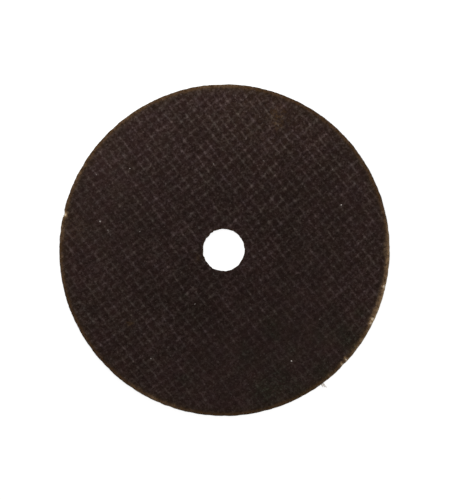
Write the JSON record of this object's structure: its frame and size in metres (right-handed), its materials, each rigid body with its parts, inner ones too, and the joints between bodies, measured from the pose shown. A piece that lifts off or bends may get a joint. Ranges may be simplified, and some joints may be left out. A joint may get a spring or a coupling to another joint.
{
  "type": "cut off wheel",
  "caption": "Thin flat abrasive cut-off wheel with a woven glass mesh showing on its faces and a plain round arbor hole in the middle.",
  "frame": {"origin": "on the axis of the arbor hole, at the lower face that the wheel lies on", "axes": "+Z along the arbor hole, out of the upper face; +X and +Y lie in the plane of the wheel"},
  "size_m": [0.0762, 0.0762, 0.0016],
  "materials": {
    "abrasive": "matte"
  },
  "bodies": {
    "root": {"cut_off_wheel": "abrasive"}
  },
  "joints": []
}
